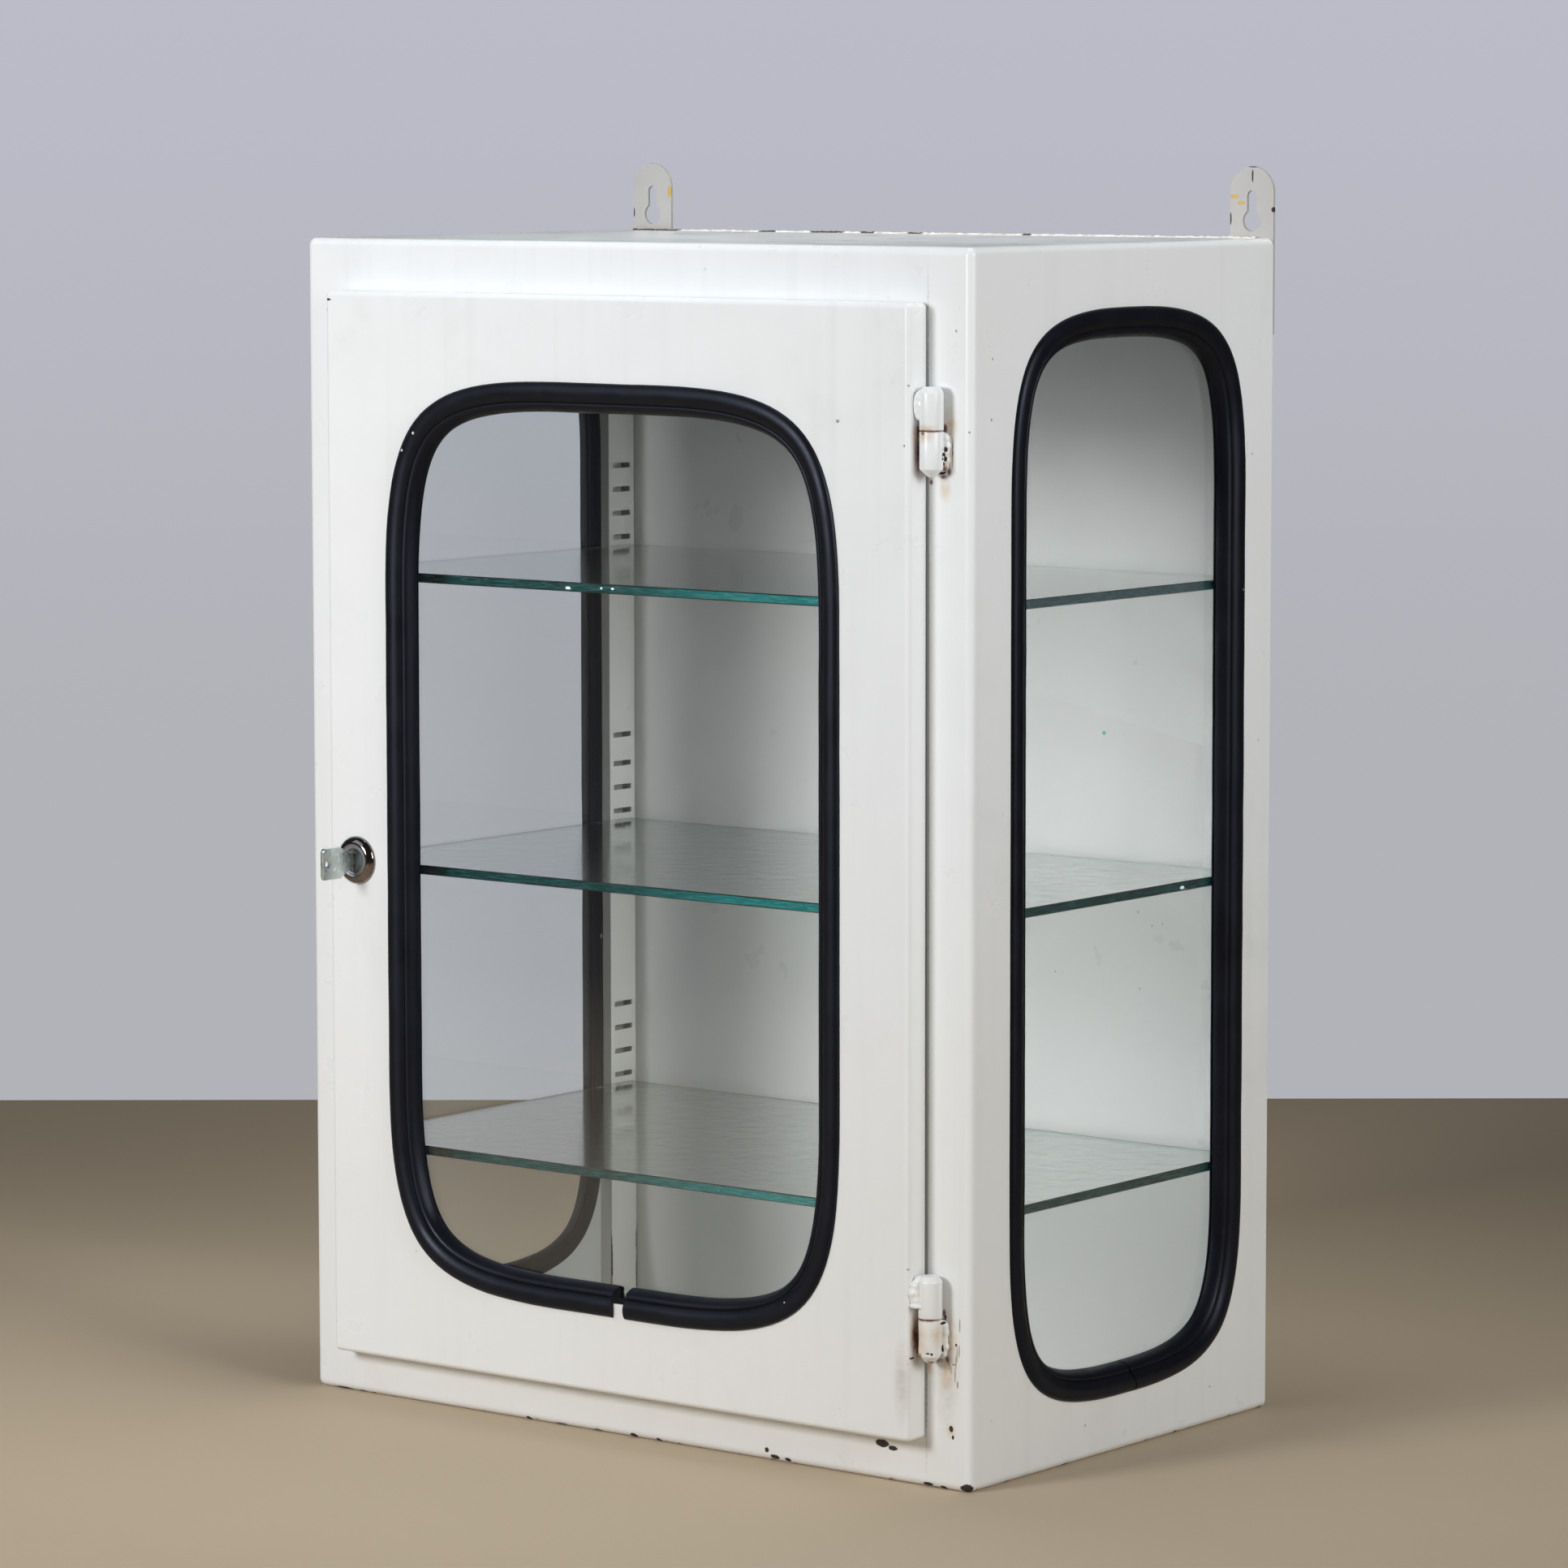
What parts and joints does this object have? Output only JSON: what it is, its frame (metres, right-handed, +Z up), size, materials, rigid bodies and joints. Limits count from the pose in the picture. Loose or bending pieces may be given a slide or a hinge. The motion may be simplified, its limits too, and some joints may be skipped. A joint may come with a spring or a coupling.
{
  "type": "medicine cabinet",
  "caption": "White sheet-steel wall medicine cabinet with a glazed, lockable door, glazed sides in black rubber seals and glass shelves.",
  "frame": {"origin": "centre of the underside of the steel case", "axes": "+X to the right as seen from the front, +Y to the back and the wall, +Z up; the door faces -Y"},
  "size_m": [0.5368, 0.3712, 0.7899],
  "materials": {
    "white_paint": "satin",
    "inside_paint": "satin",
    "hanger_paint": "satin",
    "window_glass": "polished",
    "shelf_glass": "polished",
    "seal_rubber": "satin",
    "zinc_steel": "satin",
    "lock_chrome": "polished",
    "plug_steel": "satin",
    "key_steel": "satin"
  },
  "bodies": {
    "carcass": {"front_frame": "white_paint", "left_side": "white_paint", "right_side": "white_paint", "top_panel": "white_paint", "bottom_panel": "white_paint", "back_panel": "inside_paint", "hanger_left": "hanger_paint", "hanger_right": "hanger_paint", "post_front_left": "inside_paint", "post_front_right": "inside_paint", "post_rear_left": "inside_paint", "post_rear_right": "inside_paint", "shelf_clips_upper": "zinc_steel", "shelf_clips_middle": "zinc_steel", "shelf_clips_lower": "zinc_steel", "window_glass_left": "window_glass", "window_glass_right": "window_glass", "window_seal_left": "seal_rubber", "window_seal_right": "seal_rubber", "hinge_frame_knuckle_upper": "white_paint", "hinge_frame_knuckle_lower": "white_paint", "hinge_pin_upper": "zinc_steel", "hinge_pin_lower": "zinc_steel"},
    "door": {"door_panel": "white_paint", "door_glass": "window_glass", "door_seal": "seal_rubber", "hinge_door_knuckle_upper": "white_paint", "hinge_door_knuckle_lower": "white_paint", "lock_body": "lock_chrome", "lock_nut": "zinc_steel"},
    "lock_plug": {"lock_cylinder": "plug_steel", "lock_cam": "zinc_steel", "lock_cam_screw": "zinc_steel"},
    "key": {"key": "key_steel"},
    "upper_shelf": {"shelf_upper": "shelf_glass"},
    "middle_shelf": {"shelf_middle": "shelf_glass"},
    "lower_shelf": {"shelf_lower": "shelf_glass"}
  },
  "joints": [
    {"name": "door_swing", "type": "hinge", "parent": "carcass", "child": "door", "pos_m": [0.24, -0.167, 0.3725], "axis": [0, 0, 1], "range_deg": [0, 165]},
    {"name": "lock_turn", "type": "hinge", "parent": "door", "child": "lock_plug", "pos_m": [-0.209, -0.1765, 0.35015], "axis": [0, 1, 0], "range_deg": [0, 90]},
    {"name": "key_withdraw", "type": "slide", "parent": "lock_plug", "child": "key", "axis": [0, -1, 0], "range_m": [0, 0.028]},
    {"name": "upper_shelf_lift", "type": "slide", "parent": "carcass", "child": "upper_shelf", "axis": [0, 0, 1], "range_m": [0, 0.2]},
    {"name": "middle_shelf_lift", "type": "slide", "parent": "carcass", "child": "middle_shelf", "axis": [0, 0, 1], "range_m": [0, 0.17]},
    {"name": "lower_shelf_lift", "type": "slide", "parent": "carcass", "child": "lower_shelf", "axis": [0, 0, 1], "range_m": [0, 0.165]}
  ]
}
